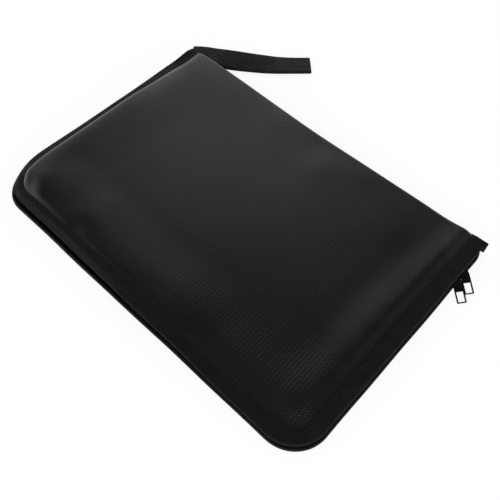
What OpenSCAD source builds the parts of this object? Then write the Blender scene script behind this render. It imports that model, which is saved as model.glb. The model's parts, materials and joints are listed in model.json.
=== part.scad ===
// Zip-around fire-resistant battery pouch, lying flat with its cover closed.
// X runs along the spine, the spine is at +Y, Z is up, and z = 0 is the face it lies on.

/* [Pouch] */
// Outer length along the spine
pouch_l = 340; // [260:5:420]
// Outer width from the spine to the front edge
pouch_w = 232; // [190:2:300]
// Radius of the two front corners
corner_r = 30; // [28:1:50]
// How far the cover swells above its bound edge
crown_h = 5; // [2:0.5:9]
// Distance from the bound edge to the top of the swell
crown_run = 70; // [40:5:75]

/* [Cloth] */
// Thickness of the coated outer cloth
cloth_t = 0.9; // [0.6:0.1:1.5]
// Thickness of the inner lining
lining_t = 0.5; // [0.3:0.1:1]
// Width of the bound edge
binding_w = 12; // [10:0.5:16]
// Thickness of the binding tape
binding_t = 0.5; // [0.4:0.1:0.8]
// Slack between the crowned cloth and its lining
lining_slack = 0.3; // [0.2:0.1:1]
// Width of the flat strip along the fold at the spine
fold_run = 4; // [3:0.5:8]

/* [Zip] */
// Thickness of the woven zip tape
tape_t = 0.5; // [0.4:0.1:0.7]
// Width of zip tape caught inside the bound edge
tape_hem = 8; // [5:0.5:8.5]
// Height of one row of coil
coil_h = 2; // [1.6:0.1:2.6]
// Thickness of the coil
coil_t = 2.2; // [1.6:0.1:2.8]
// Gap between the two rows, where the sliders' necks run
row_gap = 1.2; // [1:0.1:1.6]
// Distance from the spine's inner face to the end stops
row_end = 9; // [6:0.5:12]
// Length of an end stop
stop_l = 3; // [2:0.5:4]

/* [Sliders] */
// Length of a slider
slider_l = 10.2; // [8.4:0.1:10.4]
// Thickness of a slider's plates
plate_t = 1.1; // [0.8:0.1:1.4]
// Height of the flange that hooks under the lower row
flange_h = 0.7; // [0.5:0.1:1.2]
// Length of the neck that joins a slider's plates
neck_l = 3; // [2:0.5:5]
// Distance of the first slider from the back of the spine
slider_inset = 27.4; // [27:0.2:40]
// Distance between the two sliders
slider_pitch = 10.7; // [10.6:0.1:16]
// Running clearance round the coil and the tape
run_gap = 0.3; // [0.25:0.05:0.4]
// Room between a slider and the bound edges
slider_room = 0.4; // [0.3:0.1:2]

/* [Pulls] */
// Thickness of the bail on a slider
bail_d = 1.2; // [1:0.1:1.4]
// Distance between the bail's legs
bail_l = 6; // [5.6:0.2:7]
// Distance of the bail's bar from the slider
bail_rise = 3.3; // [3.2:0.1:4]
// Thickness of the link's wire
link_d = 1; // [0.8:0.1:1.2]
// Distance between the link's two long sides
link_h = 3; // [2.8:0.1:3.6]
// Distance from the bail's bar to the link's inner end
link_in = 2; // [1.9:0.1:2.1]
// Distance from the bail's bar to the link's outer end
link_out = 5.4; // [5.2:0.1:7]
// Width of a pull tab
pull_w = 7.6; // [6:0.1:7.9]
// Length of a pull tab from its hinge to its tip
pull_l = 20.5; // [17:0.5:28]
// Thickness of a pull tab
pull_t = 1; // [0.8:0.1:1.2]
// Width of the tab's neck, where the eye is
neck_w = 6.4; // [5.6:0.1:6.8]
// Width of the tab's eye
eye_w = 2; // [1.8:0.1:2.2]
// Length of the tab's eye
eye_l = 3; // [2.8:0.1:4]
// Thickness of the bar at the tab's hinge
hinge_bar = 1.2; // [1:0.1:1.3]
// Length over which the tab widens from its neck
shoulder_run = 3; // [2.5:0.1:6]
// Length of the window in a pull tab
window_l = 8; // [5:0.5:9]
// Width of the frame round that window
frame_w = 1; // [0.8:0.1:1.4]
// Radius of the corners at the tab's tip
tip_r = 0.8; // [0.4:0.1:2]
// Angle at which the pulls lie, seen from above
pull_angle = 38; // [30:1:40]

/* [Wrist strap] */
// Width of the webbing
strap_w = 24; // [20:1:30]
// Thickness of the webbing
strap_t = 1.4; // [1:0.1:1.8]
// Length of the loop from its sewn end to its fold
strap_l = 106; // [70:1:160]
// Angle of the loop to the spine, seen from above
strap_angle = 34.2; // [20:0.2:70]
// Distance of the sewn tab from the far short side
anchor_inset = 0; // [0:1:40]
// How much narrower than the webbing the sewn tab is, on each side
anchor_step = 4; // [2:0.5:6]
// Length of the tab's foot beyond the line the loop turns on
anchor_run = 5; // [3:0.5:8]
// Gap between the layers of webbing
ply_gap = 0.3; // [0.2:0.1:0.8]

/* [Hidden] */
$fn = 48;
// Points on a round corner, loops across the swell of the cover, and how they crowd to its edge
arc_steps = 8;
crown_loops = 6;
crown_crowd = 1.6;
// Clearance between the turning cover and the spine, and of loose things over the table
fold_gap = 0.3;
table_gap = 0.2;
// Room of the cloth's edge inside the fold of its binding
edge_gap = 0.2;
// Room between the link's outer end and the tab's hinge bar, and the hinge line's distance behind it
link_room = 0.35;
hinge_back = link_d / 2 + hinge_bar / 2 + link_room;

half_l = pouch_l / 2;
half_w = pouch_w / 2;
lip_t = 2 * binding_t + cloth_t + lining_t + tape_t;
slider_half = row_gap / 2 + coil_h + run_gap + flange_h;
wall_h = 2 * (slider_half + slider_room);
pouch_h = 2 * lip_t + wall_h;
zip_z = pouch_h / 2;

// Outer and inner faces of the spine, and where the cover's edges stop short of it
spine_y = half_w - binding_t;
spine_in = spine_y - cloth_t - binding_t;
cover_back = spine_in - 2 * fold_gap;
stop_y = spine_in - row_end;
tape_back = spine_in - 3 * fold_gap;

// Middle of the zip's tape, as a distance in from the pouch's edge
tape_in = binding_w + tape_t / 2;
zip_x = half_l - tape_in;
plate_in = coil_t / 2 + run_gap;
bail_x = zip_x + plate_in + plate_t + bail_rise;
pull_tilt = asin((zip_z - pull_t / 2 - table_gap) / pull_l);

// Heights of the strap's layers: lower ply, anchor tab, upper ply
anchor_z = table_gap + strap_t + ply_gap;
upper_ply_z = anchor_z + strap_t + ply_gap;
strap_h = upper_ply_z + strap_t;
anchor_w = strap_w - 2 * anchor_step;
strap_x = -half_l + anchor_inset + anchor_w / 2;
strap_y = half_w + strap_t + strap_w / 2 + ply_gap;

// Flat outline of the pouch, drawn in from its three bound sides and ending at back
module outline(inset, back) {
    r = corner_r - inset;
    hx = half_l - inset;
    front = inset - half_w;
    translate([-hx, front + r]) square([2 * hx, back - front - r]);
    translate([r - hx, front]) square([2 * (hx - r), 2 * r]);
    for (side = [-1, 1]) translate([side * (hx - r), front + r]) circle(r);
}

// Strip along the three bound sides, between two distances from the edge
module band(outer, inner, back) {
    difference() {
        outline(outer, back);
        outline(inner, back + 1);
    }
}

module flat_band(outer, inner, back, z, h) {
    translate([0, 0, z]) linear_extrude(h) band(outer, inner, back);
}

// Binding tape folded round the edge: a channel that opens towards the middle
module binding(back, z) {
    difference() {
        flat_band(0, binding_w, back, z, lip_t);
        flat_band(binding_t, binding_w + 1, back + 1, z + binding_t, lip_t - 2 * binding_t);
    }
}

// One half of the zip's tape: a hem in the bound edge and a wall up to its row of coil
module zip_tape(hem_z, wall_z, wall_len) {
    flat_band(tape_in + tape_t / 2 - tape_hem, tape_in + tape_t / 2, tape_back, hem_z, tape_t);
    flat_band(tape_in - tape_t / 2, tape_in + tape_t / 2, tape_back, wall_z, wall_len);
}

module zip_coil(z) {
    flat_band(tape_in - coil_t / 2, tape_in + coil_t / 2, stop_y - stop_l, z, coil_h);
}

module end_stops(z) {
    for (side = [-1, 1])
        translate([side * zip_x - coil_t / 2, stop_y - stop_l, z]) cube([coil_t, stop_l, coil_h]);
}

module base_cloth() {
    color("#2a2a2c") {
        translate([0, 0, binding_t]) linear_extrude(cloth_t) outline(binding_t + edge_gap, half_w);
        linear_extrude(binding_t + cloth_t) outline(binding_w, half_w);
    }
}

module base_lining() {
    color("#8d8f92") translate([0, 0, binding_t + cloth_t]) linear_extrude(lining_t)
        outline(binding_t + edge_gap, spine_in);
}

module base_binding() {
    color("#1d1d1f") binding(half_w, 0);
}

// The upright back of the fold, standing on the base and on its bound edges
module spine_cloth() {
    foot = binding_t + cloth_t;
    top = pouch_h - binding_t - cloth_t - fold_gap;
    end_x = half_l - binding_t;
    step_x = half_l - binding_w;
    color("#2a2a2c") translate([0, spine_y, 0]) rotate([90, 0, 0]) linear_extrude(cloth_t)
        polygon([
            [-end_x, lip_t], [-step_x, lip_t], [-step_x, foot], [step_x, foot], [step_x, lip_t],
            [end_x, lip_t], [end_x, top], [-end_x, top],
        ]);
}

// Binding folded round both ends of the spine
module spine_end_bindings() {
    h = pouch_h - binding_t - cloth_t - fold_gap - lip_t;
    color("#1d1d1f") for (side = [0, 1]) mirror([side, 0, 0]) difference() {
        translate([half_l - binding_w, spine_in, lip_t]) cube([binding_w, half_w - spine_in, h]);
        translate([half_l - binding_w - 1, spine_y - cloth_t, lip_t - 1])
            cube([binding_w - binding_t + 1, cloth_t, h + 2]);
    }
}

module lower_zip_tape() {
    hem_z = binding_t + cloth_t + lining_t;
    color("#202022") zip_tape(hem_z, hem_z, zip_z - row_gap / 2 - coil_h - hem_z);
}

module lower_zip_coil() {
    color("#161617") zip_coil(zip_z - row_gap / 2 - coil_h);
}

module lower_end_stops() {
    color("#101011") end_stops(zip_z - row_gap / 2 - coil_h);
}

// Webbing tab sewn flat to the back of the spine, with a foot that the loop is sewn to
module strap_anchor() {
    leg_h = pouch_h - binding_t - cloth_t - fold_gap - anchor_z;
    color("#242425") translate([strap_x - anchor_w / 2, half_w, anchor_z]) {
        cube([anchor_w, strap_t, leg_h]);
        cube([anchor_w, strap_y - half_w + anchor_run, strap_t]);
    }
}

// Points of one loop of the cover, from the spine round the front and back to the spine
function loop_points(inset, back, z) =
    let (r = max(corner_r - inset, binding_w), hx = half_l - inset, front = inset - half_w)
    concat(
        [[-hx, back, z]],
        [for (i = [0:arc_steps]) let (a = 180 + 90 * i / arc_steps)
            [r - hx + r * cos(a), front + r + r * sin(a), z]],
        [for (i = [0:arc_steps]) let (a = 270 + 90 * i / arc_steps)
            [hx - r + r * cos(a), front + r + r * sin(a), z]],
        [[hx, back, z]]
    );

// Loops of a crowned sheet: a flat rim, then a swell that levels out after crown_run
function crown_sheet(z, edge, back, slack) =
    concat(
        [loop_points(edge, back, z)],
        [for (i = [0:crown_loops])
            let (s = pow(i / crown_loops, crown_crowd), inset = binding_w + tape_t + s * crown_run)
            loop_points(inset, back - fold_run - s * crown_run,
                z + crown_h * sin(90 * s) - (i > 0 ? slack : 0))]
    );

// Closed sheet of even thickness below a stack of loops
module sheet(loops, thick) {
    n = len(loops[0]);
    count = len(loops);
    upper = [for (l = loops) each l];
    lower = [for (p = upper) p - [0, 0, thick]];
    under = n * count;
    last = n * (count - 1);
    polyhedron(concat(upper, lower), concat(
        [for (k = [0:count - 2], i = [0:n - 1], t = [0, 1])
            let (a = k * n + i, b = k * n + (i + 1) % n)
            t == 0 ? [a, a + n, b] : [b, a + n, b + n]],
        [for (k = [0:count - 2], i = [0:n - 1], t = [0, 1])
            let (a = under + k * n + i, b = under + k * n + (i + 1) % n)
            t == 0 ? [a, b, a + n] : [b, b + n, a + n]],
        [for (i = [0:n - 1], t = [0, 1])
            let (a = i, b = (i + 1) % n)
            t == 0 ? [a, b, under + a] : [b, under + b, under + a]],
        [[for (i = [n - 1:-1:0]) last + i]],
        [[for (i = [0:n - 1]) under + last + i]]
    ));
}

module cover_cloth() {
    color("#2c2c2e") sheet(crown_sheet(pouch_h - binding_t, binding_t + edge_gap, spine_y, 0), cloth_t);
}

module cover_lining() {
    color("#8d8f92")
        sheet(crown_sheet(pouch_h - binding_t - cloth_t, binding_t + edge_gap, cover_back, lining_slack),
            lining_t);
}

module cover_binding() {
    color("#1d1d1f") binding(cover_back, pouch_h - lip_t);
}

module upper_zip_tape() {
    hem_z = pouch_h - binding_t - cloth_t - lining_t - tape_t;
    wall_z = zip_z + row_gap / 2 + coil_h;
    color("#202022") zip_tape(hem_z, wall_z, hem_z + tape_t - wall_z);
}

module upper_zip_coil() {
    color("#161617") zip_coil(zip_z + row_gap / 2);
}

module upper_end_stops() {
    color("#101011") end_stops(zip_z + row_gap / 2);
}

// Places its children on the zip of the near short side, with the zip's middle as origin
module at_slider(number) {
    translate([zip_x, half_w - slider_inset - (number - 1) * slider_pitch, zip_z]) children();
}

// Turns its children about the bail's bar, so that local X points along the pull
module along_pull() {
    translate([bail_x - zip_x, 0, 0]) rotate([0, 0, -pull_angle]) children();
}

// Two plates joined by a neck between the rows, with flanges that hook under the lower row
module slider_body(number) {
    color("#141415") at_slider(number) {
        for (side = [0, 1]) mirror([side, 0, 0]) {
            translate([plate_in, -slider_l / 2, -slider_half]) cube([plate_t, slider_l, 2 * slider_half]);
            translate([tape_t / 2 + run_gap, -slider_l / 2, -slider_half])
                cube([plate_in - tape_t / 2 - run_gap, slider_l, flange_h]);
        }
        translate([-plate_in, -neck_l / 2, run_gap - row_gap / 2])
            cube([2 * plate_in, neck_l, row_gap - 2 * run_gap]);
    }
}

// Wire arch along the slider, which the link hangs from
module slider_bail(number) {
    foot_x = plate_in + plate_t;
    color("#19191a") at_slider(number) {
        translate([bail_x - zip_x, bail_l / 2, 0]) rotate([90, 0, 0]) cylinder(d = bail_d, h = bail_l);
        for (side = [-1, 1]) translate([foot_x, side * bail_l / 2, 0]) {
            rotate([0, 90, 0]) cylinder(d = bail_d, h = bail_rise);
            translate([bail_rise, 0, 0]) sphere(d = bail_d);
        }
    }
}

// Upright wire loop round the bail's bar
module pull_link(number) {
    color("#19191a") at_slider(number) along_pull() {
        for (x = [-link_in, link_out]) translate([x, 0, -link_h / 2]) {
            cylinder(d = link_d, h = link_h);
            for (z = [0, link_h]) translate([0, 0, z]) sphere(d = link_d);
        }
        for (side = [-1, 1]) translate([-link_in, 0, side * link_h / 2])
            rotate([0, 90, 0]) cylinder(d = link_d, h = link_in + link_out);
    }
}

// Flat shape of a pull tab, with its hinge line at x = 0
module pull_shape() {
    shoulder = (hinge_bar + eye_l) / 2;
    body_x = shoulder + shoulder_run;
    window_x = pull_l - frame_w - window_l;
    difference() {
        union() {
            translate([-hinge_bar / 2, -neck_w / 2]) square([body_x, neck_w]);
            polygon([
                [shoulder, -neck_w / 2], [body_x, -pull_w / 2],
                [body_x, pull_w / 2], [shoulder, neck_w / 2],
            ]);
            translate([body_x, -pull_w / 2]) square([pull_l - body_x - tip_r, pull_w]);
            translate([body_x, tip_r - pull_w / 2]) square([pull_l - body_x, pull_w - 2 * tip_r]);
            for (side = [-1, 1]) translate([pull_l - tip_r, side * (pull_w / 2 - tip_r)]) circle(tip_r);
        }
        translate([hinge_bar / 2, -eye_w / 2]) square([eye_l, eye_w]);
        translate([window_x, frame_w - pull_w / 2]) square([window_l, pull_w - 2 * frame_w]);
    }
}

module pull_tab(number) {
    color("#0f0f10") at_slider(number) along_pull() translate([link_out - hinge_back, 0, 0])
        rotate([0, pull_tilt, 0]) translate([0, 0, -pull_t / 2]) linear_extrude(pull_t) pull_shape();
}

// Flat webbing loop: two plies over and under the anchor's foot, joined by a fold at the free end
module wrist_strap() {
    fold_r = (strap_h - table_gap) / 2;
    straight = strap_l - fold_r;
    color("#242425") translate([strap_x, strap_y, 0]) rotate([0, 0, strap_angle]) {
        for (z = [table_gap, upper_ply_z]) translate([0, 0, z]) linear_extrude(strap_t) {
            circle(d = strap_w);
            translate([0, -strap_w / 2]) square([straight, strap_w]);
        }
        translate([straight, strap_w / 2, table_gap + fold_r]) rotate([90, 0, 0]) difference() {
            cylinder(r = fold_r, h = strap_w);
            translate([0, 0, -1]) cylinder(r = fold_r - strap_t, h = strap_w + 2);
            translate([-2 * fold_r, -fold_r - 1, -1]) cube([2 * fold_r, 2 * fold_r + 2, strap_w + 2]);
        }
    }
}

base_cloth();
base_lining();
base_binding();
spine_cloth();
spine_end_bindings();
lower_zip_tape();
lower_zip_coil();
lower_end_stops();
strap_anchor();
cover_cloth();
cover_lining();
cover_binding();
upper_zip_tape();
upper_zip_coil();
upper_end_stops();
slider_body(1);  // slider_body_1
slider_bail(1);  // slider_bail_1
pull_link(1);  // pull_link_1
pull_tab(1);  // pull_tab_1
slider_body(2);  // slider_body_2
slider_bail(2);  // slider_bail_2
pull_link(2);  // pull_link_2
pull_tab(2);  // pull_tab_2
wrist_strap();
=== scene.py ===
# Looks of a zip-around battery pouch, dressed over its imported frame.
# Metres, in the frame's axes: X runs along the spine, the spine is at +Y, and z = 0 is the table.
import json
import math

import bpy
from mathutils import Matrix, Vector


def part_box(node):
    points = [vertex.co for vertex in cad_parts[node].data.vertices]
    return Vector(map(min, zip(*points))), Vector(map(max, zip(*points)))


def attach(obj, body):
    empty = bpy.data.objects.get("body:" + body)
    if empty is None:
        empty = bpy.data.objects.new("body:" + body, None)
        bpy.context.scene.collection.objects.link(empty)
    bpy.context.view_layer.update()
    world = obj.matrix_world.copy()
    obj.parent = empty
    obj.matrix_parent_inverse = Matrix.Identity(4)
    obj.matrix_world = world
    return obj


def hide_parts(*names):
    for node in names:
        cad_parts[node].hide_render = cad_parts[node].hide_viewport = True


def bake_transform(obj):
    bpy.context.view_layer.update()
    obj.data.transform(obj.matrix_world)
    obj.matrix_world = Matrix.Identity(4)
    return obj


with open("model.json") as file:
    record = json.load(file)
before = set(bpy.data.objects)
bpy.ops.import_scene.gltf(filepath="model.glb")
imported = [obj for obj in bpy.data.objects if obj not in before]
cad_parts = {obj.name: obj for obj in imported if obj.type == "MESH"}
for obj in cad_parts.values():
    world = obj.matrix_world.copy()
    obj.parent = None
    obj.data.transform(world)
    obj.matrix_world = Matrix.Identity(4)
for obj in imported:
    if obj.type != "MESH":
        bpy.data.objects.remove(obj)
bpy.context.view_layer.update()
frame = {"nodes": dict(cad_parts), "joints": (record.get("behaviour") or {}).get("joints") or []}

MM = 0.001
UP = Vector((0, 0, 1))
scene = bpy.context.scene
joints = {joint["name"]: joint for joint in frame["joints"]}

# Places read from the frame
half_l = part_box("base_binding")[1].x
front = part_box("base_binding")[0].y
lip_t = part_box("base_binding")[1].z
lid_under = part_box("cover_binding")[0].z
lid_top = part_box("cover_binding")[1].z
spine_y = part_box("spine_cloth")[1].y
lid_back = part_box("cover_binding")[1].y
row_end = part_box("lower_zip_coil")[1].y
row_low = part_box("lower_zip_coil")[0].z
row_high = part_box("upper_zip_coil")[1].z
zip_z = (row_low + row_high) / 2
hinge_z = joints["cover_fold"]["pos_m"][2]
strap_root = Vector(joints["strap_swing"]["pos_m"])
strap_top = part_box("wrist_strap")[1].z
strap_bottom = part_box("wrist_strap")[0].z
anchor_low, anchor_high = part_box("strap_anchor")

# Cloth and tapes
corner_r = 30 * MM
cloth_t = 0.9 * MM
lining_t = 0.5 * MM
binding_w = 12 * MM
binding_t = 0.5 * MM
tape_t = 0.5 * MM
web_t = 1.4 * MM
coil_t = 2.2 * MM
tape_in = half_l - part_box("lower_zip_coil")[1].x + coil_t / 2

# How the filled pouch lies: its cover swells behind the seam, one far corner stands up, the near one droops
swell_left = 4.2 * MM
bank_left = 3.4 * MM
swell_right = 1.4 * MM
soft_run = 22 * MM
right_run = 12 * MM
near_run = 120 * MM
spine_run = 110 * MM
flat_run = 160 * MM
shoulder_lean = 2.4 * MM
lean_peak = 2.5 * MM
far_rise = 7.0 * MM
far_run = 60 * MM
near_droop = 3.5 * MM
zip_tuck = 1.4 * MM
crease_r = 2.8 * MM

# The fold along the right side: its place at the spine, least height and width, and the valley beside it
ridge_x = 157 * MM
ridge_h = 1.4 * MM
ridge_w = 14 * MM
valley_off = 28 * MM
valley_h = 0.6 * MM

# How the cover's sides lie: drawn in or pushed out, lifted behind the seam, and their lips turned down
front_draw = 1.7 * MM
front_curl = 4.0 * MM
front_lift = 3.0 * MM
side_draw = 1.6 * MM
left_push = 4.5 * MM
left_hang = math.radians(18)
right_tilt = 1.5 * MM
right_lift = 1.3 * MM

# The base's lip turns up in front, over the outer part of its width, and is tucked in at one spine end
turn_run = 6 * MM
turn_bend = 3 * MM
turn_up = math.radians(38)
turn_push = 2.0 * MM
end_tuck = 2 * MM

# The cover's tape ends just short of the spine; towards its ends a tape is drawn in and its upper side dips
tape_gap = 0.5 * MM
end_run = 6 * MM
end_draw = 1.3 * MM
end_dip = 0.4 * MM

# Swells and hollows of the cover in millimetres: centre, size along and across, turn in degrees, height
WAVES = [
    (53, 104, 18, 20, 10, 0.4),
    (8, 104, 16, 20, 10, -0.5),
    (-38, 100, 16, 36, 20, 0.5),
    (96, 78, 22, 24, 0, 0.7),
    (20, 84, 17, 17, 0, 0.4),
    (-92, -72, 30, 22, 0, 0.6),
    (60, -50, 60, 25, 0, -0.4),
    (-80, -101, 9, 8, 30, -0.9),
    (51, -100, 8, 9, -15, -0.6),
    (-141, -100, 6, 9, 45, -1.1),
]


def ramp(value, start, end):
    """Smooth step from 0 at start to 1 at end."""
    t = min(1.0, max(0.0, (value - start) / (end - start)))
    return t * t * (3 - 2 * t)


def bell(distance, width):
    """Smooth bump: 1 at its middle, falling off to both sides over its width."""
    return math.exp(-((distance / width) ** 2))


def left_front(x):
    """How far a place belongs to the left part of the front, from 0 to 1."""
    return ramp(x, 25 * MM, -86 * MM)


def near_share(x, y):
    """How far a place belongs to the drooping near corner, from 0 to 1."""
    return ramp(x, -40 * MM, 150 * MM) * ramp(y, -78 * MM, -104 * MM)


def puffed(x, y):
    """How far a place belongs to the puffed left side and to the puffed front, each from 0 to 1."""
    from_left, from_front = x + half_l, y - front
    sideways = from_front / (from_left + from_front)
    left = ramp(y, 80 * MM, 20 * MM) * ramp(x, 20 * MM, -60 * MM)
    pinch = 0.6 * bell(x + 80 * MM, 12 * MM)
    return left * sideways, 0.9 * ramp(x, 60 * MM, 40 * MM) * (1 - pinch) * (1 - sideways)


def lid_offset(x, y, inset, out):
    """How far the cover and its lip lie from their flat place."""
    lip = 1 - ramp(inset, 0, binding_w)
    past_seam = max(0.0, binding_w - inset)
    from_left, from_right = x + half_l, half_l - x
    from_front, from_spine = y - front, spine_y - y

    # The lip is drawn in along the front, and so is the whole right side
    in_front = front_draw * left_front(x) + side_draw * (0.5 + 0.5 * ramp(x, 90 * MM, 50 * MM))
    dy = in_front * lip * ramp(from_front, 45 * MM, 10 * MM) * ramp(from_left, 6 * MM, 22 * MM)
    dx = -side_draw * ramp(from_right, 60 * MM, 14 * MM)

    # The left side is pushed out, and its lip hangs
    hangs = ramp(y, 110 * MM, 60 * MM)
    hang = left_hang * hangs * max(0.0, -out.x) ** 2
    dx -= left_push * hangs * ramp(from_left, 110 * MM, 12 * MM) * ramp(from_front, 8 * MM, 50 * MM)

    # The far corner stands up, its lip less than the cloth behind, and the near corner droops
    far = far_rise * ramp(x, 10 * MM, -150 * MM) * bell(from_spine, far_run)
    outer = 0.25 + 0.35 * ramp(from_spine, 26 * MM, 2 * MM)
    far *= outer + (1 - outer) * ramp(inset, 6 * MM, 20 * MM)
    near = near_droop * near_share(x, y) * math.exp(-inset / (60 * MM))

    # Away from the edge the cloth is lifted at the right side and in front
    lift = right_lift * ramp(from_right, 80 * MM, 20 * MM) * ramp(y, -110 * MM, -60 * MM)
    lift *= ramp(from_spine, 0, 40 * MM)
    in_puff = ramp(x, 70 * MM, 20 * MM) * ramp(from_left, 12 * MM, 45 * MM)
    lift += front_lift * in_puff * ramp(from_front, 70 * MM, 16 * MM)
    lift *= min(1.0, inset / binding_w)

    # The front lip's edge curls down at the left, and the lips of both sides tilt down
    curl = front_curl * left_front(x) * ramp(from_front, 40 * MM, 10 * MM) * ramp(inset, 6 * MM, 0)
    tilt = past_seam * math.sin(hang) + right_tilt * past_seam / binding_w * max(0.0, out.x) ** 2
    return Vector((dx, dy, far + lift - near - curl - tilt)) - out * past_seam * (1 - math.cos(hang))


def rounding(distance, reach):
    """Height of a round shoulder at a distance from its foot, from 0 to 1 at its reach."""
    return math.sin(math.pi / 2 * min(1.0, max(0.0, distance / reach)))


def swell(x, y, inset, fullness=1.0):
    """Rise of the cover behind its seam: a shoulder at the left, a low wall in front, soft elsewhere."""
    edge = max(0.0, inset - binding_w)
    left, near = (fullness * share for share in puffed(x, y))
    shoulder = 1 - 0.7 * math.exp(-edge / (9 * MM)) - 0.3 * math.exp(-edge / (2 * MM))
    wall = 0.4 * ramp(edge, 0, 6 * MM) + 0.6 * ramp(edge, 0, 70 * MM)
    reach = soft_run + (near_run - soft_run) * ramp(x, 0, 130 * MM) * ramp(y, 30 * MM, -70 * MM)
    side_run = right_run if x > 0 else soft_run
    soft = rounding(half_l - abs(x) - binding_w, side_run) * rounding(y - front - binding_w, reach)
    soft = min(soft, rounding(edge, 8 * MM))
    height = swell_left + (swell_right - swell_left) * ramp(x, -60 * MM, 100 * MM)
    from_spine = rounding(spine_y - y, spine_run + (flat_run - spine_run) * ramp(x, 20 * MM, 110 * MM))
    return height * from_spine * (left * shoulder + near * wall + (1 - left - near) * soft)


def ridge(x, y):
    """Height of the fold that runs in from the right spine corner, and of its valley."""
    crest = ridge_x - 10 * MM * ramp(y, 110 * MM, -10 * MM) - 6 * MM * ramp(y, -40 * MM, -90 * MM)
    height = ridge_h + 0.6 * MM * ramp(y, 40 * MM, 100 * MM)
    fold = height * bell(x - crest, ridge_w)
    valley = valley_h * bell(x - crest + valley_off, ridge_w)
    return (fold - valley) * ramp(y, -112 * MM, -70 * MM)


def bank(x, y):
    """Height of the stiff left side over the panel beside it."""
    return bank_left * ramp(x, -98 * MM, -152 * MM) * ramp(y, 90 * MM, 20 * MM) * ramp(y, -112 * MM, -85 * MM)


def waves(x, y, inset):
    """Soft swells and hollows of the cover's panel."""
    total = bank(x, y)
    for cx, cy, along, across, turn, height in WAVES:
        dx, dy = x / MM - cx, y / MM - cy
        c, s = math.cos(math.radians(turn)), math.sin(math.radians(turn))
        u, v = (dx * c + dy * s) / along, (dy * c - dx * s) / across
        total += height * MM * math.exp(-u * u - v * v)
    total *= ramp(spine_y - y, 0, 12 * MM)
    fade = 5 * MM + 5 * MM * ramp(x, 60 * MM, 130 * MM)
    return (total + ridge(x, y)) * ramp(inset, binding_w, binding_w + fade)


def cover_point(x, y, inset, out):
    """Place of the cover's outer face; where it is puffed it leans out over the seam."""
    edge = max(0.0, inset - binding_w) / lean_peak
    lean = shoulder_lean * puffed(x, y)[0] * edge * math.exp(1 - edge)
    rise = lid_top - binding_t + swell(x, y, inset) + waves(x, y, inset)
    return Vector((x, y, rise)) + out * lean + lid_offset(x, y, inset, out)


def cover_inside(x, y, inset, out):
    """Place of the lining's face against the cover."""
    slack = cloth_t + 0.3 * MM * ramp(inset, binding_w, binding_w + 15 * MM)
    rise = lid_top - binding_t - slack + 0.9 * swell(x, y, inset, 0.35)
    return Vector((x, y, rise + min(0.0, waves(x, y, inset)))) + lid_offset(x, y, inset, out)


def rounded(x, y):
    """Moves a point of the square-cornered sheet to the round-cornered one; gives its inset and way out."""
    side = math.copysign(1, x)
    dx, dy = half_l - abs(x), y - front
    inset, far = min(dx, dy), max(dx, dy)
    if far >= corner_r:
        return x, y, inset, Vector((side, 0, 0)) if dx < dy else Vector((0, -1, 0))
    r = corner_r - inset
    angle = math.pi / 4 * (1 - (far - inset) / r)
    if dx > dy:
        angle = math.pi / 2 - angle
    out = Vector((side * math.cos(angle), -math.sin(angle), 0))
    return side * (half_l - corner_r) + r * out.x, front + corner_r + r * out.y, inset, out


def edge_length(inset, back):
    """Length round the three bound sides at an inset, from spine end to spine end."""
    return 2 * (back - front - corner_r) + math.pi * (corner_r - inset) + 2 * (half_l - corner_r)


def bound_edge(length, inset, back):
    """Point and outward direction at a running length round the three bound sides."""
    r = corner_r - inset
    side, arc, wide = back - front - corner_r, math.pi / 2 * r, 2 * (half_l - corner_r)
    cx, cy = half_l - corner_r, front + corner_r
    if length <= side:
        return Vector((inset - half_l, back - length, 0)), Vector((-1, 0, 0))
    length -= side
    if length <= arc:
        out = Vector((math.cos(math.pi + length / r), math.sin(math.pi + length / r), 0))
        return Vector((-cx, cy, 0)) + r * out, out
    length -= arc
    if length <= wide:
        return Vector((length - cx, front + inset, 0)), Vector((0, -1, 0))
    length -= wide
    if length <= arc:
        out = Vector((math.sin(length / r), -math.cos(length / r), 0))
        return Vector((cx, cy, 0)) + r * out, out
    return Vector((half_l - inset, cy + length - arc, 0)), Vector((1, 0, 0))


def spaced(start, end, step):
    """Evenly spaced values from start to end, about a step apart."""
    count = max(1, round(abs(end - start) / step))
    return [start + (end - start) * i / count for i in range(count + 1)]


def running(points):
    """Running length along a row of points."""
    lengths = [0.0]
    for a, b in zip(points, points[1:]):
        lengths.append(lengths[-1] + (b - a).length)
    return lengths


def piece(name, points, faces, look, uvs=None):
    """A smooth mesh object with one material, and a map of its cloth in metres."""
    mesh = bpy.data.meshes.new(name)
    mesh.from_pydata(points, [], faces)
    if uvs:
        layer = mesh.uv_layers.new(name="cloth")
        for loop in mesh.loops:
            layer.data[loop.index].uv = uvs[loop.vertex_index]
    mesh.polygons.foreach_set("use_smooth", [True] * len(mesh.polygons))
    mesh.materials.append(look)
    made = bpy.data.objects.new(name, mesh)
    scene.collection.objects.link(made)
    return made


def strip_faces(first, count, wide, closed):
    """Faces between a count of rows of points, numbered from the first; closed joins each row's ends."""
    faces = []
    for j in range(count - 1):
        for i in range(wide if closed else wide - 1):
            a, b = first + j * wide + i, first + j * wide + (i + 1) % wide
            faces.append((a, b, b + wide, a + wide))
    return faces


def end_faces(first, count, wide):
    """The faces that shut both ends of closed rows."""
    last = first + (count - 1) * wide
    return [tuple(range(first + wide - 1, first - 1, -1)), tuple(range(last, last + wide))]


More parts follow.
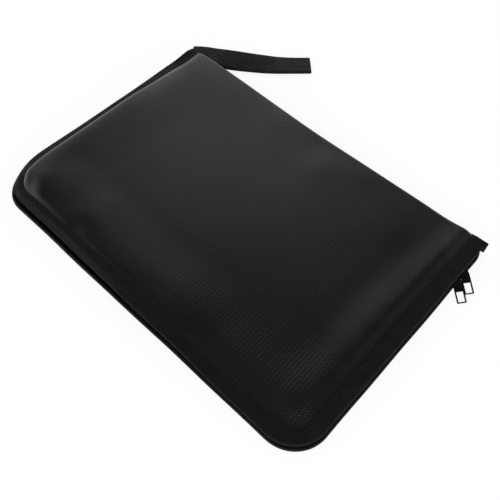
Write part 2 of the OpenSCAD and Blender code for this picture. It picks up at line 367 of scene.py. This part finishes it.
def loft(name, rows, look, thick=0.0, closed=False, flat=None):
    """A sheet through rows of points; thick gives it a second face, closed joins each row's ends.

    flat is where each point lies on the uncut cloth, if that isn't simply along and across the rows.
    """
    wide = len(rows[0])
    along = running([row[wide // 2] for row in rows])
    across = running(rows[len(rows) // 2])
    faces = strip_faces(0, len(rows), wide, closed)
    if closed:
        faces += end_faces(0, len(rows), wide)
    uvs = flat or [(u, v) for u in along for v in across]
    made = piece(name, [p for row in rows for p in row], faces, look, uvs)
    if thick:
        solid = made.modifiers.new("thickness", "SOLIDIFY")
        solid.thickness = thick
        solid.offset = -1
    return made


def tube(points, radius, sides):
    """Points and faces of a round wire along a row of points."""
    steep = 0.95
    ring_points = []
    for i, p in enumerate(points):
        ahead = (points[min(i + 1, len(points) - 1)] - points[max(i - 1, 0)]).normalized()
        side = ahead.cross(UP if abs(ahead.z) < steep else Vector((1, 0, 0))).normalized()
        top = side.cross(ahead)
        for k in range(sides):
            a = 2 * math.pi * k / sides
            ring_points.append(p + radius * (math.cos(a) * side + math.sin(a) * top))
    return ring_points, strip_faces(0, len(points), sides, True)


class Look:
    """A Principled material, with short ways to add nodes to it."""

    # Most of the noise lies between these
    noise_low, noise_high = 0.3, 0.7

    def __init__(self, name, specular=0.5, roughness=0.5):
        self.material = bpy.data.materials.new(name)
        self.material.use_nodes = True
        self.tree = self.material.node_tree
        self.shader = self.tree.nodes["Principled BSDF"]
        self.shader.inputs["Roughness"].default_value = roughness
        self.shader.inputs["Specular IOR Level"].default_value = specular

    def node(self, kind, inputs=(), **settings):
        """A new node with its settings, and with its inputs set or linked."""
        made = self.tree.nodes.new("ShaderNode" + kind)
        for key, value in settings.items():
            setattr(made, key, value)
        for key, value in dict(inputs).items():
            self.feed(made.inputs[key], value)
        return made

    def feed(self, socket, value):
        """Links another node's output to a socket, or sets a plain value on it."""
        if isinstance(value, bpy.types.NodeSocket):
            self.tree.links.new(value, socket)
        else:
            socket.default_value = value

    def math(self, operation, a, b=0.0):
        """The output of one math node."""
        return self.node("Math", {0: a, 1: b}, operation=operation).outputs[0]

    def map_axes(self):
        """Distance along and across the cloth, in metres."""
        split = self.node("SeparateXYZ", {0: self.node("UVMap", uv_map="cloth").outputs[0]})
        return split.outputs[0], split.outputs[1]

    def wave(self, distance, pitch):
        """Sine of a distance, with one full swing per pitch."""
        return self.math("SINE", self.math("MULTIPLY", distance, 2 * math.pi / pitch))

    def noise(self, scale):
        """Cloudy values, with a scale in swings to the metre."""
        place = self.node("TexCoord").outputs["Object"]
        return self.node("TexNoise", {"Scale": scale, "Detail": 2.0, "Vector": place}).outputs["Fac"]

    def tint(self, amount, dark, light):
        """Base colour that drifts between two tints."""
        ramp_node = self.node("ValToRGB", {0: amount})
        ramp_node.color_ramp.elements[0].position = self.noise_low
        ramp_node.color_ramp.elements[1].position = self.noise_high
        ramp_node.color_ramp.elements[0].color = (*dark, 1)
        ramp_node.color_ramp.elements[1].color = (*light, 1)
        self.feed(self.shader.inputs["Base Color"], ramp_node.outputs[0])
        return ramp_node.outputs[0]

    def rough(self, amount, low, high):
        """Roughness that drifts between two values."""
        spread = self.node("MapRange", {"Value": amount, "From Min": self.noise_low,
                                        "From Max": self.noise_high, "To Min": low, "To Max": high})
        self.feed(self.shader.inputs["Roughness"], spread.outputs[0])

    def bump(self, height, depth, strength=1.0, under=None):
        """Fine relief of a depth in metres, on top of another relief where one is given."""
        made = self.node("Bump", {"Height": height, "Distance": depth, "Strength": strength})
        if under:
            self.feed(made.inputs["Normal"], under)
        self.feed(self.shader.inputs["Normal"], made.outputs[0])
        return made.outputs[0]


# Pitches of the weaves and ribs, along and across their cloth
dot_along, dot_across = 2.0 * MM, 3.0 * MM
lining_pitch = 1.4 * MM
binding_rib, zip_rib = 1.0 * MM, 0.8 * MM
web_rib = 2.4 * MM
web_along, web_across = 0.9 * MM, 1.2 * MM

# Where the middle of the binding's width lies, which is its fold
tape_fold = 12.8 * MM


def coated_cloth():
    """Black silicone-coated glass cloth. Its weave shows through the satin coat as dots.

    They are strongest near the front right corner.
    """
    look = Look("coated_cloth")
    u, v = look.map_axes()
    picks = look.math("ADD", look.wave(u, dot_along), 0.6)
    weave = look.math("MULTIPLY", picks, look.wave(v, dot_across))
    in_front = look.node("MapRange", {"Value": u, "From Min": 30 * MM, "From Max": 85 * MM,
                                      "To Min": 2.2, "To Max": 0.25})
    weave = look.math("MULTIPLY", weave, in_front.outputs[0])
    at_right = look.node("MapRange", {"Value": v, "From Min": 160 * MM, "From Max": 250 * MM, "To Min": 0.25})
    weave = look.math("MULTIPLY", weave, at_right.outputs[0])
    look.tint(look.noise(18.0), dark=(0.004, 0.004, 0.0042), light=(0.006, 0.006, 0.0062))
    look.rough(look.noise(60.0), low=0.3, high=0.34)
    coat = look.bump(look.noise(350.0), depth=0.12 * MM, strength=0.5)
    look.bump(weave, depth=0.06 * MM, strength=0.7, under=coat)
    return look.material


def lining_cloth():
    """Dull grey inner glass cloth."""
    look = Look("lining_cloth")
    u, v = look.map_axes()
    weave = look.math("MULTIPLY", look.wave(u, lining_pitch), look.wave(v, lining_pitch))
    look.tint(look.noise(25.0), dark=(0.29, 0.295, 0.3), light=(0.32, 0.325, 0.33))
    look.rough(look.noise(80.0), low=0.5, high=0.65)
    look.bump(weave, depth=0.08 * MM)
    return look.material


def ribbed_tape(name, rib, fold=None):
    """Woven tape with ribs across it. Where it has a fold, a pale band along the fold is partly rubbed wear
    and partly a painted highlight on the folded edge.
    """
    look = Look(name, specular=0.15)
    u, v = look.map_axes()
    ribs = look.wave(u, rib)
    threads = look.math("MULTIPLY", look.wave(v, rib * 0.6), 0.4)
    colour = look.tint(look.noise(120.0), dark=(0.004, 0.004, 0.0042), light=(0.007, 0.007, 0.0073))
    if fold:
        # Painted highlight mixed with wear: a pale band along the fold lightens the folded lip edge, which
        # lies in shade, as if it caught light.
        off_fold = look.math("ABSOLUTE", look.math("SUBTRACT", v, fold))
        rubbed_and_lit = look.node("MapRange", {"Value": off_fold, "From Min": 2.0 * MM, "From Max": 0.3 * MM})
        rubbed_and_lit = look.math("MULTIPLY", rubbed_and_lit.outputs[0], look.noise(260.0))
        pale_wear_and_highlight = (0.07, 0.07, 0.07, 1)
        fold_wear_and_highlight = look.node("Mix", {0: rubbed_and_lit, 6: colour, 7: pale_wear_and_highlight}, data_type="RGBA")
        look.feed(look.shader.inputs["Base Color"], fold_wear_and_highlight.outputs[2])
    look.rough(look.noise(200.0), low=0.62, high=0.78)
    look.bump(look.math("ADD", ribs, threads), depth=0.06 * MM)
    return look.material


def webbing_cloth():
    """Webbing with fine ribs along it."""
    look = Look("webbing", specular=0.25)
    u, v = look.map_axes()
    ribs = look.wave(v, web_rib)
    picks = look.math("MULTIPLY", look.wave(u, web_along), look.wave(v, web_across))
    look.tint(look.noise(90.0), dark=(0.0035, 0.0035, 0.0037), light=(0.007, 0.007, 0.0072))
    look.rough(look.noise(150.0), low=0.55, high=0.7)
    look.bump(look.math("ADD", ribs, look.math("MULTIPLY", picks, 0.5)), depth=0.1 * MM)
    return look.material


def thread_look():
    """Bonded black thread with a slight shine."""
    look = Look("thread", specular=0.25, roughness=0.5)
    look.tint(look.noise(900.0), dark=(0.005, 0.005, 0.005), light=(0.01, 0.01, 0.01))
    look.bump(look.noise(2500.0), depth=0.05 * MM)
    return look.material


def coil_look():
    """Black nylon of the zip's coil."""
    look = Look("nylon_coil")
    look.tint(look.noise(400.0), dark=(0.008, 0.008, 0.0085), light=(0.014, 0.014, 0.0145))
    look.rough(look.noise(300.0), low=0.3, high=0.42)
    return look.material


def enamel():
    """Black enamel on die-cast metal, a little worn."""
    look = Look("black_enamel", specular=0.3)
    look.tint(look.noise(220.0), dark=(0.0015, 0.0015, 0.0016), light=(0.003, 0.003, 0.0031))
    look.rough(look.noise(500.0), low=0.25, high=0.4)
    look.bump(look.noise(1500.0), depth=0.02 * MM, strength=0.6)
    return look.material


CLOTH = coated_cloth()
LINING = lining_cloth()
BINDING = ribbed_tape("binding_tape", binding_rib, tape_fold)
ZIP_TAPE = ribbed_tape("zip_tape", zip_rib)
WEBBING = webbing_cloth()
THREAD = thread_look()
COIL = coil_look()
ENAMEL = enamel()

# Distances from a bound edge that the sheets' points keep to, in millimetres, closer where the cloth rises
IN_LIP = (1.3, 2.0, 2.9, 4.4, 5.9, 7.5, 9, 10.5, 11.3)
BEHIND_SEAM = (12, 12.4, 12.9, 13.5, 14.3, 15.3, 16.6, 18.2, 20)
EDGE_STEPS = [d * MM for d in IN_LIP + BEHIND_SEAM]
SHEET_STEP = 2 * MM

# Steps along the tapes, and along and across the webbing
TAPE_STEP = 2.5 * MM
WEB_STEP = 4 * MM
WEB_CROSS_STEP = 2 * MM


def sheet_spots(back):
    """Rows of spots over the whole pouch up to its back, each with its inset and way out."""
    inner = half_l - EDGE_STEPS[-1] - SHEET_STEP
    left = [d - half_l for d in EDGE_STEPS]
    columns = left + spaced(-inner, inner, SHEET_STEP) + [-x for x in reversed(left)]
    first = front + EDGE_STEPS[-1] + SHEET_STEP
    rows = [front + d for d in EDGE_STEPS] + spaced(first, back, SHEET_STEP)
    return [[rounded(x, y) for x in columns] for y in rows]


def sheet_grid(back, place):
    """Rows of points over the whole pouch, each put in its place by a function."""
    return [[place(*spot) for spot in row] for row in sheet_spots(back)]


def sheet_map(back):
    """Where each point of a sheet's grid lies on the uncut cloth, so that its weave runs straight."""
    return [(spot[1] - front, spot[0] + half_l) for row in sheet_spots(back) for spot in row]


def cover_sheet():
    """The cover's cloth, over the crease and down the spine to the table."""
    back = spine_y - crease_r
    rows = sheet_grid(back, cover_point)
    tops, last_top = rows[-1], len(rows) - 1
    round_steps, down_steps, foot_steps = 6, 6, 3
    foot_r, foot_turn, back_bow = 0.8 * MM, math.radians(80), 0.4 * MM
    for step in range(1, round_steps + 1):
        a = math.pi / 2 * step / round_steps
        y, drop = spine_y - crease_r * (1 - math.sin(a)), crease_r * (1 - math.cos(a))
        rows.append([Vector((p.x, y, p.z - drop)) for p in tops])
    for step in range(1, down_steps + 1):
        t = step / down_steps
        y = spine_y + back_bow * math.sin(math.pi * t)
        rows.append([Vector((p.x, y, (p.z - crease_r) * (1 - t) + foot_r * t)) for p in tops])
    for step in range(1, foot_steps + 1):
        a = foot_turn * step / foot_steps
        y, z = spine_y - foot_r * (1 - math.cos(a)), foot_r * (1 - math.sin(a))
        rows.append([Vector((p.x, y, z)) for p in tops])
    flat = sheet_map(back)
    for over in running([row[0] for row in rows[last_top:]])[1:]:
        flat += [(back - front + over, p.x + half_l) for p in tops]
    made = loft("cover_and_spine_cloth", rows, CLOTH, cloth_t, flat=flat)
    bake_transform(made)
    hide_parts("cover_cloth", "spine_cloth")


def cover_lining():
    """The lining under the cover."""
    rows = sheet_grid(lid_back, cover_inside)
    made = loft("cover_lining_sheet", rows, LINING, lining_t, flat=sheet_map(lid_back))
    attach(made, "cover")
    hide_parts("cover_lining")


def base_sheets():
    """The base's cloth, which lies on the table behind its lip, and the lining on it."""
    foot, foot_run = 0.05 * MM, 4 * MM
    ripple_h, spine_gap = 0.12 * MM, 1.2 * MM

    def laid(x, y, inset, out, lift=0.0):
        z = binding_t + (foot - binding_t) * ramp(inset, binding_w, binding_w + foot_run) + lift
        return Vector((x, y, z)) + base_offset(x, y, inset, z, out)

    def lined(x, y, inset, out):
        ripple = ripple_h * math.sin(x * 55) * math.sin(y * 70 + x * 20)
        return laid(x, y, inset, out, cloth_t + lining_t + ripple * ramp(inset, binding_w, 2 * binding_w))

    back = spine_y - spine_gap
    rows = [row[::-1] for row in sheet_grid(back, laid)]
    cloth = loft("base_cloth_sheet", rows, CLOTH, cloth_t, flat=sheet_map(back))
    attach(cloth, "base")
    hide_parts("base_cloth")
    rows = sheet_grid(lid_back, lined)
    lining = loft("base_lining_sheet", rows, LINING, lining_t, flat=sheet_map(lid_back))
    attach(lining, "base")
    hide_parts("base_lining")


def base_offset(x, y, inset, z, out):
    """How far the base's lip lies from its flat place: it turns up in front, and in at one spine end."""
    past_bend = max(0.0, turn_run - inset)
    share = (0.12 + 0.88 * left_front(x)) * ramp(y, -80 * MM, -100 * MM)
    angle = turn_up * share * min(1.0, past_bend / turn_bend)
    high = z - lip_t / 2
    move_out = past_bend * (math.cos(angle) - 1) - high * math.sin(angle) + turn_push * share
    move_up = past_bend * math.sin(angle) + high * (math.cos(angle) - 1)
    tuck = end_tuck * ramp(x, half_l - 40 * MM, half_l - 12 * MM) * ramp(y, spine_y - 12 * MM, spine_y)
    return out * move_out + UP * move_up - Vector((tuck, 0, 0))


def lip_place(point, out, inset, z, lid):
    """A place on the cover's or the base's lip, moved as that lip lies."""
    p = point - out * inset + UP * z
    return p + (lid_offset(p.x, p.y, inset, out) if lid else base_offset(p.x, p.y, inset, z, out))


def fold_profile(low, high):
    """Insets and heights of tape folded round a lip, from its upper inner edge to its lower one.

    The seam presses both inner edges into the cloth.
    """
    pressed, pressed_run, step = 0.35 * MM, 1 * MM, 1.5 * MM
    r = (high - low) / 2
    turn = spaced(0, math.pi, math.pi / 8)
    flat = spaced(binding_w - pressed_run, 2 * r, step)
    upper = [(binding_w, high - pressed)] + [(d, high) for d in flat]
    bend = [(r - r * math.sin(a), low + r + r * math.cos(a)) for a in turn]
    return upper + bend + [(d, low) for d in reversed(flat)] + [(binding_w, low + pressed)]


def binding(name, node, body, low, high, back, lid):
    """Tape folded round a lip along the three bound sides, with a slight sway."""
    sway_by = 0.25 * MM
    profile = fold_profile(low, high)
    total = edge_length(0, back)
    rows = []
    for length in spaced(0, total, TAPE_STEP):
        point, out = bound_edge(length, 0, back)
        sway = sway_by * (math.sin(length * 61) * math.sin(length * 23 + 1))
        at_end = ramp(min(length, total - length), end_run, 0)
        sway -= end_draw * at_end
        dip = end_dip * at_end / (binding_w * (high - low))
        row = [(d, z - dip * d * (z - low)) for d, z in profile]
        rows.append([lip_place(point + out * sway, out, d, z, lid) for d, z in row])
    made = loft(name, rows, BINDING, binding_t)
    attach(made, body)
    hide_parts(node)


# Distance from stitch to stitch, and a stitch's rings along its length: place and size
STITCH_PITCH = 2.4 * MM
STITCH = [(-1.0, 0.15), (-0.75, 0.75), (0.0, 1.0), (0.75, 0.75), (1.0, 0.15)]


def stitches(name, body, places):
    """A row of thread stitches; each place is a point, a direction along and a direction up."""
    half_long, half_wide, sides = 0.7 * MM, 0.28 * MM, 6
    slant, flatness = 0.12, 0.8
    points, faces = [], []
    for centre, ahead, up in places:
        side = up.cross(ahead)
        lean = (ahead + slant * side).normalized()
        side = up.cross(lean)
        first = len(points)
        for t, size in STITCH:
            for k in range(sides):
                a = 2 * math.pi * k / sides
                off = math.cos(a) * side + flatness * math.sin(a) * up
                points.append(centre + lean * t * half_long + off * size * half_wide)
        faces += strip_faces(first, len(STITCH), sides, True)
        faces += end_faces(first, len(STITCH), sides)
    made = piece(name, points, faces, THREAD)
    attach(made, body)


def binding_stitches(name, body, z, up, back, lid):
    """The seam that holds a binding, on the tape close to its inner edge."""
    inset, from_end = binding_w - 1.2 * MM, 2 * MM
    places = []
    for length in spaced(from_end, edge_length(0, back) - from_end, STITCH_PITCH):
        point, out = bound_edge(length, 0, back)
        places.append((lip_place(point, out, inset, z, lid), UP.cross(out), up))
    stitches(name, body, places)


def zip_drop(p):
    """How far the zip's rows are moved near the drooping corner: inwards, and down."""
    share = near_share(p.x, p.y)
    return zip_tuck * share, near_droop / 2 * share


def zip_tape(name, node, body, lid):
    """One half of the zip's tape: a hem inside the lip and a wall up or down to its row of coil."""
    hem_depth, hem_spots = 0.75 * MM, (8 * MM, 4 * MM, 1 * MM)
    bend_in, bend_by, wall_gap = 0.2 * MM, 0.3 * MM, 0.9 * MM
    sign = 1 if lid else -1
    hem_z = lid_under + hem_depth if lid else lip_t - hem_depth
    wall_end = zip_z + sign * wall_gap
    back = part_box(node)[1].y
    rows = []
    for length in spaced(0, edge_length(0, back), TAPE_STEP):
        point, out = bound_edge(length, 0, back)
        tuck, drop = zip_drop(point - out * tape_in)
        row = [lip_place(point, out, tape_in - d, hem_z, lid) for d in hem_spots]
        row.append(lip_place(point, out, tape_in - bend_in, hem_z - sign * bend_by, lid))
        top = row[-1].z
        for t in (0.3, 0.6, 1.0):
            p = point - out * (tape_in + tuck * t)
            row.append(Vector((p.x, p.y, top * (1 - t) + (wall_end - drop) * t)))
        rows.append(row if lid else row[::-1])
    made = loft(name, rows, ZIP_TAPE, tape_t)
    made.modifiers["thickness"].offset = 0
    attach(made, body)
    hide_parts(node)


def zip_coil(name, node, body, lid):
    """One row of coil wound round the edge of its tape; the two rows mesh half a turn apart."""
    pitch, turn_points = 1.5 * MM, 10
    wire_r, wire_sides = 0.25 * MM, 5
    half_wide, half_high, off_middle = 0.85 * MM, 1.2 * MM, 1.15 * MM
    middle = zip_z + (off_middle if lid else -off_middle)
    phase = 0.0 if lid else math.pi
    points = []
    for length in spaced(0, edge_length(tape_in, row_end), pitch / turn_points):
        point, out = bound_edge(length, tape_in, row_end)
        tuck, drop = zip_drop(point)
        a = 2 * math.pi * length / pitch + phase
        p = point + out * (half_wide * math.cos(a) - tuck)
        points.append(Vector((p.x, p.y, middle - drop + half_high * math.sin(a))))
    made = piece(name, *tube(points, wire_r, wire_sides), COIL)
    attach(made, body)
    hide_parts(node)


def spine_ends():
    """Binding folded round both ends of the spine, from the middle of the base's lip to below the crease."""
    low, high, step = lip_t / 2, hinge_z - cloth_t, 1.5 * MM
    y0, y1 = spine_y + binding_t, spine_y - cloth_t - binding_t
    r = (y0 - y1) / 2
    turn = spaced(0, math.pi, math.pi / 6)
    section = [(binding_w, y0), (binding_w / 2, y0)]
    section += [(r - r * math.sin(a), y1 + r + r * math.cos(a)) for a in turn]
    section += [(binding_w / 2, y1), (binding_w, y1)]
    for name, side in (("spine_end_binding_left", -1), ("spine_end_binding_right", 1)):
        rows = []
        for z in spaced(low, high, step):
            row = [Vector((side * (half_l - d), y, z)) for d, y in section]
            rows.append(row if side < 0 else row[::-1])
        made = loft(name, rows, BINDING, binding_t)
        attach(made, "base")
        if side < 0:
            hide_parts("spine_end_bindings")


def web_section(width):
    """Closed outline of webbing, with round edges."""
    r, half = web_t / 2, width / 2 - web_t / 2
    flat = spaced(half, -half, WEB_CROSS_STEP)
    left = [math.pi / 2 + math.pi * i / 4 for i in range(1, 4)]
    right = [-math.pi / 2 + math.pi * i / 4 for i in range(1, 4)]
    outline = [(y, r) for y in flat] + [(-half + r * math.cos(a), r * math.sin(a)) for a in left]
    outline += [(y, -r) for y in reversed(flat)] + [(half + r * math.cos(a), r * math.sin(a)) for a in right]
    return outline


def web(name, path, width):
    """Webbing along a path of points and side directions."""
    rows = []
    for i, (p, side) in enumerate(path):
        ahead = (path[min(i + 1, len(path) - 1)][0] - path[max(i - 1, 0)][0]).normalized()
        up = ahead.cross(-side)
        rows.append([p + side * y + up * z for y, z in web_section(width)])
    return loft(name, rows, WEBBING, closed=True)


def wrist_strap():
    """The webbing loop: an upper ply, a fold at its free end and a lower ply."""
    width, length, root = 24 * MM, 106 * MM, -17 * MM
    angle = math.radians(34.2)
    bow_end, bow_middle = 2.2 * MM, 4.2 * MM
    upper_roll, end_roll = 0.14, 0.085
    seam_in, fold_steps = 2 * MM, 8
    ahead = Vector((math.cos(angle), math.sin(angle), 0))
    side = UP.cross(ahead)
    middle = (strap_top + strap_bottom) / 2
    fold_r = 0.6 * web_t
    straight = length - fold_r - web_t / 2

    def plan(a):
        """Place of the strap's middle line on the table, at a distance from its pivot."""
        t = max(0.0, a / length)
        bow = bow_end * t * t - bow_middle * math.sin(math.pi * min(1.0, t))
        return strap_root.xy.to_3d() + ahead * a + side * bow

    def side_at(a):
        """Level direction across the strap."""
        return UP.cross((plan(a + 1 * MM) - plan(a - 1 * MM)).normalized())

    def spread(a):
        """Half the distance between the plies, which part where they hold the anchor's foot."""
        parted = ramp(a, 55 * MM, 15 * MM) * ramp(a, root, root + 7 * MM)
        return fold_r + (strap_top - web_t / 2 - middle - fold_r) * parted

    def rolled(a, roll=0.0):
        """Direction across the webbing: a roll lifts its far edge midway; at the end its near edge is up."""
        t = min(1.0, max(0.0, (a - 5 * MM) / (65 * MM)))
        lift = roll * math.sin(math.pi * t) - end_roll * ramp(a, 55 * MM, 95 * MM)
        return (side_at(a) + UP * lift).normalized()

    stops = spaced(root, straight, WEB_STEP)
    path = [(plan(a) + UP * (middle + spread(a)), rolled(a, upper_roll)) for a in stops]
    for i in range(1, fold_steps):
        turn = math.pi * i / fold_steps
        p = plan(straight + fold_r * math.sin(turn)) + UP * (middle + fold_r * math.cos(turn))
        path.append((p, rolled(straight)))
    path += [(plan(a) + UP * (middle - spread(a)), rolled(a)) for a in reversed(stops)]
    made = web("wrist_strap_webbing", path, width)
    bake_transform(made)
    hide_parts("wrist_strap")
    for name, body, a in (("root", "base", root + seam_in), ("hem", "strap", straight - seam_in)):
        across = rolled(a)
        seam = plan(a) + UP * (middle + spread(a) + web_t / 2)
        row = spaced(-width / 2 + seam_in, width / 2 - seam_in, STITCH_PITCH)
        places = [(seam + across * d, across, UP) for d in row]
        stitches("strap_" + name + "_stitches", body, places)


def strap_anchor():
    """Webbing tab on the back of the spine, with a foot that the loop is sewn to.

    It ends low, so that the standing corner of the opened cover passes it.
    """
    top, bend, step, bend_steps = 5.2 * MM, 2.5 * MM, 2 * MM, 6
    width = anchor_high.x - anchor_low.x
    x = (anchor_low.x + anchor_high.x) / 2
    y, z = anchor_low.y + web_t / 2, anchor_low.z + web_t / 2
    points = [Vector((x, y, height)) for height in spaced(top, z + bend, step)]
    for i in range(1, bend_steps):
        a = math.pi / 2 * i / bend_steps
        points.append(Vector((x, y + bend * (1 - math.cos(a)), z + bend * (1 - math.sin(a)))))
    points += [Vector((x, run, z)) for run in spaced(y + bend, anchor_high.y, step)]
    made = web("strap_anchor_webbing", [(p, Vector((1, 0, 0))) for p in points], width)
    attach(made, "base")
    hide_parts("strap_anchor")


def metal_parts():
    """Rounds the edges of the frame's metal pieces and gives them their finish."""
    same_point, tab_edge, other_edge = 0.002 * MM, 0.12 * MM, 0.2 * MM
    names = ["lower_end_stops", "upper_end_stops"]
    for number in ("1", "2"):
        names += [kind + number for kind in ("slider_body_", "slider_bail_", "pull_link_", "pull_tab_")]
    for name in names:
        node = frame["nodes"][name]
        node.data.materials.clear()
        node.data.materials.append(ENAMEL)
        node.modifiers.new("weld", "WELD").merge_threshold = same_point
        edge = node.modifiers.new("edge", "BEVEL")
        edge.width = tab_edge if "pull_tab" in name else other_edge
        edge.segments = 3
        edge.limit_method = "ANGLE"


def aimed(name, data, place, ahead):
    """A camera or lamp at a place, turned to look ahead."""
    made = bpy.data.objects.new(name, data)
    made.location = place
    made.rotation_mode = "QUATERNION"
    made.rotation_quaternion = ahead.to_track_quat("-Z", "Y")
    scene.collection.objects.link(made)
    return made


def camera():
    """The camera where the photograph was taken from."""
    azimuth, elevation, distance = math.radians(43.01), math.radians(57.60), 471 * MM
    target = Vector((29.4 * MM, -12.0 * MM, 0))
    flat = math.cos(elevation)
    back = Vector((math.sin(azimuth) * flat, -math.cos(azimuth) * flat, math.sin(elevation)))
    data = bpy.data.cameras.new("camera")
    data.sensor_width = 36
    data.lens = 41.6
    data.clip_start = 0.01
    scene.camera = aimed("camera", data, target + distance * back, -back)


def softbox(name, place, size, radiance):
    """A rectangular lamp that faces the pouch."""
    lamp = bpy.data.lights.new(name, "AREA")
    lamp.shape = "RECTANGLE"
    lamp.size, lamp.size_y = size
    lamp.energy = radiance * math.pi * size[0] * size[1]
    aimed(name, lamp, place, -Vector(place))


def studio():
    """White floor, a dome that is bright near the horizon and dim overhead, and two softboxes."""
    scene.view_settings.view_transform = "Standard"
    world = bpy.data.worlds.new("dome")
    scene.world = world
    world.use_nodes = True
    tree = world.node_tree
    place = tree.nodes.new("ShaderNodeTexCoord")
    split = tree.nodes.new("ShaderNodeSeparateXYZ")
    spread = tree.nodes.new("ShaderNodeMapRange")
    spread.interpolation_type = "SMOOTHSTEP"
    for key, value in {"From Min": 0.35, "From Max": 0.75, "To Min": 1.05, "To Max": 0.09}.items():
        spread.inputs[key].default_value = value
    tree.links.new(place.outputs["Generated"], split.inputs[0])
    tree.links.new(split.outputs[2], spread.inputs["Value"])
    tree.links.new(spread.outputs[0], tree.nodes["Background"].inputs["Strength"])
    tree.nodes["Background"].inputs["Color"].default_value = (1, 1, 1, 1)

    white, reach = 0.87, 6.0
    look = Look("floor", specular=0.0, roughness=0.9)
    look.shader.inputs["Base Color"].default_value = (0.25, 0.25, 0.25, 1)
    look.shader.inputs["Emission Color"].default_value = (1, 1, 1, 1)
    path = look.node("LightPath")
    seen = look.math("MAXIMUM", path.outputs["Is Camera Ray"], path.outputs["Is Glossy Ray"])
    seen = look.math("MAXIMUM", seen, path.outputs["Is Transmission Ray"])
    look.feed(look.shader.inputs["Emission Strength"], look.math("MULTIPLY", seen, white))
    corners = [(-reach, -reach, 0), (reach, -reach, 0), (reach, reach, 0), (-reach, reach, 0)]
    floor = piece("floor", corners, [(0, 1, 2, 3)], look.material)

    softbox("back_light", place=(-0.62, 0.66, 0.82), size=(0.7, 0.8), radiance=0.6)
    softbox("front_light", place=(0.62, -0.66, 0.45), size=(2.0, 0.8), radiance=1.0)


camera()
studio()
cover_sheet()
cover_lining()
base_sheets()
binding("cover_binding_tape", "cover_binding", "cover", lid_under, lid_top, spine_y - tape_gap, True)
binding("base_binding_tape", "base_binding", "base", 0, lip_t, spine_y, False)
binding_stitches("cover_stitches", "cover", lid_top, UP, lid_back, True)
binding_stitches("cover_stitches_under", "cover", lid_under, -UP, lid_back, True)
binding_stitches("base_stitches", "base", lip_t, UP, lid_back, False)
zip_tape("upper_zip_tape_cloth", "upper_zip_tape", "cover", True)
zip_tape("lower_zip_tape_cloth", "lower_zip_tape", "base", False)
zip_coil("upper_zip_coil_row", "upper_zip_coil", "cover", True)
zip_coil("lower_zip_coil_row", "lower_zip_coil", "base", False)
spine_ends()
strap_anchor()
wrist_strap()
metal_parts()
